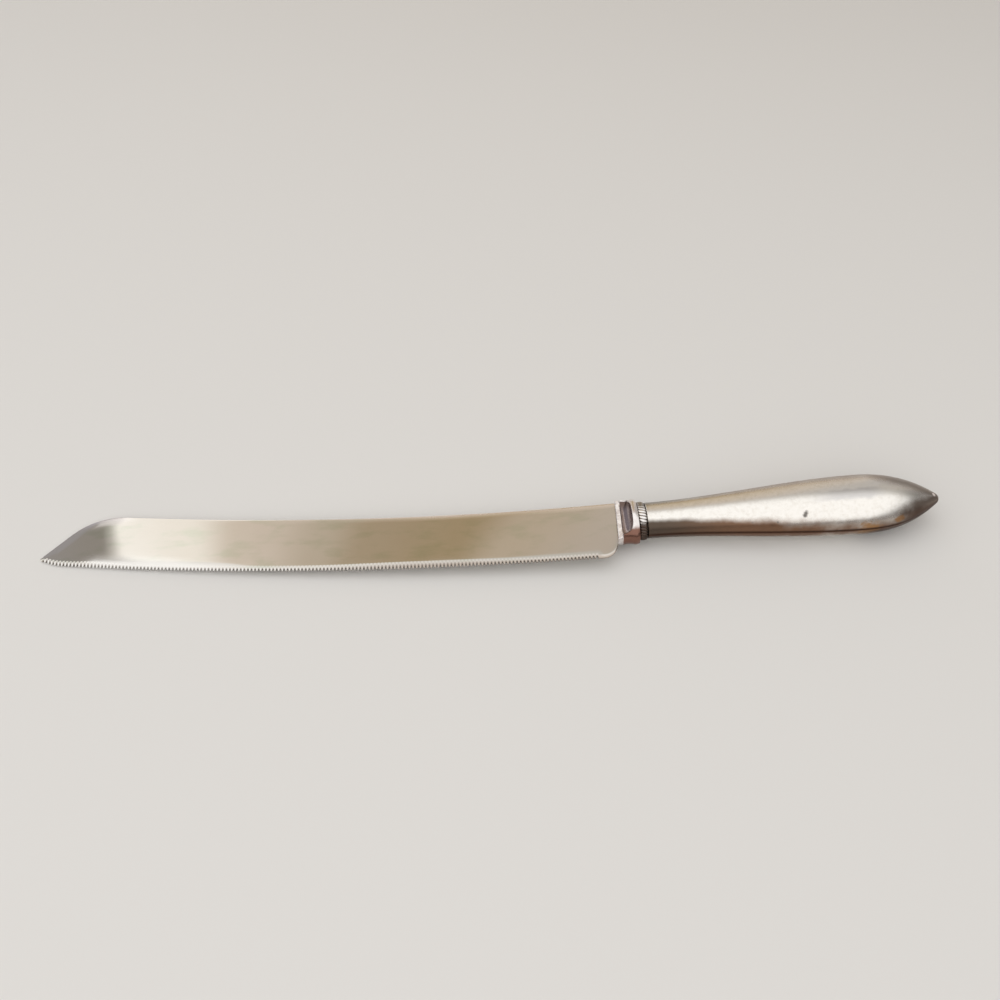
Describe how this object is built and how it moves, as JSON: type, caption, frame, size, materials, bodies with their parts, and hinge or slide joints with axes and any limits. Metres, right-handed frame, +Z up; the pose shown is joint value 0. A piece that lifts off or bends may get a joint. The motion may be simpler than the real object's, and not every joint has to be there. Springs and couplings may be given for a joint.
{
  "type": "cake knife",
  "caption": "Cake knife: long upswept saw-edged steel blade with a slanted clip tip, waisted steel bolster, milled ring and hollow oval silver-plated handle.",
  "frame": {"origin": "bottom centre of the knife's box as it lies on a table, with the tip and the handle's belly touching z = 0", "axes": "+X along the knife from the blade's tip towards the handle's butt, +Y towards the blade's back, +Z up, out of the upper cheek"},
  "size_m": [0.3156, 0.0346, 0.0179],
  "materials": {
    "blade_steel": "satin",
    "bolster_steel": "polished",
    "silver_plate": "polished",
    "solder": "satin",
    "cement": "matte"
  },
  "bodies": {
    "root": {"blade": "blade_steel", "bolster": "bolster_steel", "neck_ring": "silver_plate", "handle_shell_upper": "silver_plate", "handle_shell_lower": "silver_plate", "seam_solder": "solder", "handle_cement": "cement"}
  },
  "joints": []
}
